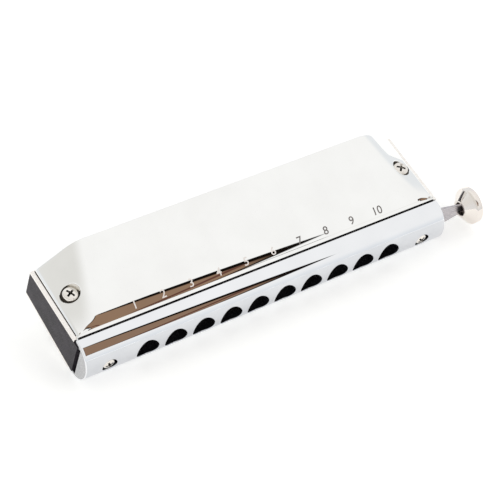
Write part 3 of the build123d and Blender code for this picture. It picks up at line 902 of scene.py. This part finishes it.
def build_button(bm):
    """Turned button: bored neck, cone, rolled rim and slightly domed crown."""
    profile = [(0.001, 2.9), (2.2, 2.9), (2.2, 0.15), (2.35, 0.0), (2.85, 0.0), (3.0, 0.12)]
    profile += [(3.0 + 2.75 * share, 0.12 + 2.44 * share) for share in between(0, 1, 10)[1:]]
    profile += [(5.86, 2.72), (5.97, 2.88), (BUTTON_RADIUS, 3.05), (BUTTON_RADIUS, CROWN_EDGE)]
    for angle in arc_steps(6)[1:]:
        profile.append((BUTTON_RADIUS - CROWN_ROUND * (1 - cos(angle)),
                        CROWN_EDGE + CROWN_ROUND * sin(angle)))
    edge_radius, edge_height = profile[-1]
    for share in between(0, 1, 12)[1:]:
        radius = edge_radius * (1 - share)
        profile.append((max(radius, 0.001), edge_height + CROWN_RISE * (1 - (1 - share) ** 2)))
    lathe(bm, profile, 96, lambda a, b, h: (NECK_X + h, SLIDE_MIDDLE + a, b))


make_piece(
    "push_button", build_button, [button_nickel], "slide", "slide_button", 35)


# ---- CAD nodes that show with their own shape ---------------------------------------------------

def dress(node, material, edge=0.0):
    """Gives a CAD node its material and, where it shows, softened edges."""
    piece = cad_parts[node]
    piece.data.materials.clear()
    piece.data.materials.append(material)
    if edge:
        weld = piece.modifiers.new("weld", "WELD")
        weld.merge_threshold = 0.000002
        soften = piece.modifiers.new("soften", "BEVEL")
        soften.width = edge * MM
        soften.segments = 2
        soften.limit_method = "ANGLE"
        soften.angle_limit = radians(40)


dress("comb", comb_black, 0.15)
for level in ("upper", "lower"):
    dress(f"{level}_reed_plate", plate_nickel, 0.08)
    dress(f"{level}_blow_reeds", reed_brass)
    dress(f"{level}_draw_reeds", reed_brass)
    dress(f"{level}_reed_rivets", rivet_brass)
    dress(f"{level}_valves", valve_film)
    dress(f"{level}_plate_screws", screw_nickel)
dress("cover_nuts", screw_nickel, 0.1)
for node in ("slide_back_plate", "slide_channel", "slide_front_plate"):
    dress(node, slide_steel)
dress("slide", slide_steel, 0.06)
dress("slide_bumpers", silicone)
dress("slide_spring", spring_wire)


# ---- Floor, light and camera --------------------------------------------------------------------

FLOOR_REACH = 3.0               # metres
LENS = 150.92
SENSOR = 36
# The photo's view, in the instrument's axes.
VIEW_FROM = (-275.60, -247.13, 511.93)
VIEW_RIGHT = Vector((0.83912, -0.50557, 0.20068))
VIEW_UP = Vector((0.32388, 0.76078, 0.56242))


def make_floor():
    """Pale seamless table under the instrument."""
    mesh = bpy.data.meshes.new("floor")
    low, high = -FLOOR_REACH, FLOOR_REACH
    corners = [(low, low, 0), (high, low, 0), (high, high, 0), (low, high, 0)]
    mesh.from_pydata(corners, [], [(0, 1, 2, 3)])
    mesh.materials.append(floor_white)
    floor = linked("floor", mesh)


def past(tree, direction, axis, start, end):
    """Soft step from 0 to 1 as the direction's share along an axis goes from start to end."""
    dot = tree.nodes.new("ShaderNodeVectorMath")
    dot.operation = "DOT_PRODUCT"
    dot.inputs[1].default_value = PLACING.to_3x3() @ Vector(axis)
    tree.links.new(direction, dot.inputs[0])
    step = tree.nodes.new("ShaderNodeMapRange")
    step.interpolation_type = "SMOOTHSTEP"
    step.inputs["From Min"].default_value = start
    step.inputs["From Max"].default_value = end
    tree.links.new(dot.outputs["Value"], step.inputs["Value"])
    return step.outputs["Result"]


def product(tree, values):
    """Product of several values."""
    total = values[0]
    for value in values[1:]:
        node = tree.nodes.new("ShaderNodeMath")
        node.operation = "MULTIPLY"
        tree.links.new(total, node.inputs[0])
        tree.links.new(value, node.inputs[1])
        total = node.outputs["Value"]
    return total


def blended(tree, share, under, over):
    """Colour over laid on colour under by a share; under may be a socket."""
    node = tree.nodes.new("ShaderNodeMix")
    node.data_type = "RGBA"
    tree.links.new(share, node.inputs["Factor"])
    if isinstance(under, tuple):
        node.inputs["A"].default_value = (*under, 1)
    else:
        tree.links.new(under, node.inputs["A"])
    node.inputs["B"].default_value = (*over, 1)
    return node.outputs["Result"]


def make_world():
    """Studio round the instrument: big white softbox, pale table, warm dark room between them."""
    world = bpy.data.worlds.new("studio")
    bpy.context.scene.world = world
    world.use_nodes = True
    tree = world.node_tree
    look = tree.nodes.new("ShaderNodeTexCoord").outputs["Generated"]

    def beyond(axis, start, end):
        return past(tree, look, axis, start, end)

    # Planes through the instrument's middle, by their normals in its own axes.
    along, upward, forward = (1, 0, 0), (0, 0, 1), (0, -1, 0)
    softbox_edge = (-0.875, -0.380, 0.300)
    rim_edge = (-0.973, -0.134, -0.186)
    table_edge = (-0.869, -0.119, 0.481)

    # White softbox, greyer to the left, and a cooler white low down.
    colour = blended(tree, beyond(along, 0.35, -0.45), (1.0, 1.0, 0.995), (0.79, 0.785, 0.76))
    colour = blended(tree, beyond(upward, 0.62, 0.25), colour, (0.86, 0.885, 0.91))

    # Dark room between the softbox and the table, and its warm wall with one darker streak.
    room = [beyond(softbox_edge, -0.006, 0.0), beyond(forward, 0.09, 0.12),
            beyond(along, 0.495, 0.475)]
    dark = product(tree, room + [
        beyond(table_edge, -0.004, 0.006), beyond(upward, 0.592, 0.606),
        beyond(along, 0.275, 0.295)])
    warm = product(tree, room + [
        beyond(table_edge, 0.012, 0.022), beyond(upward, 0.606, 0.616),
        beyond(rim_edge, -0.505, -0.494), beyond(along, 0.295, 0.315),
        beyond(along, 0.450, 0.428)])
    streak = product(tree, [
        warm, beyond(table_edge, 0.040, 0.046), beyond(table_edge, 0.064, 0.058)])
    colour = blended(tree, dark, colour, (0.006, 0.004, 0.003))
    colour = blended(tree, warm, colour, (0.30, 0.19, 0.125))
    colour = blended(tree, streak, colour, (0.13, 0.055, 0.04))
    background = tree.nodes["Background"]
    tree.links.new(colour, background.inputs["Color"])
    background.inputs["Strength"].default_value = 1.0


def make_camera():
    """Camera at the studio view, from the player's left and above, set out from the instrument."""
    data = bpy.data.cameras.new("camera")
    data.sensor_width = SENSOR
    data.lens = LENS
    camera = linked("camera", data)
    axes = Matrix((VIEW_RIGHT, VIEW_UP, VIEW_RIGHT.cross(VIEW_UP))).transposed()
    turn = (PLACING.to_3x3() @ axes).to_quaternion()
    camera.matrix_world = Matrix.LocRotScale(placed(VIEW_FROM), turn, None)
    bpy.context.scene.camera = camera


make_floor()
make_world()
make_camera()
bpy.context.scene.view_settings.view_transform = "Standard"
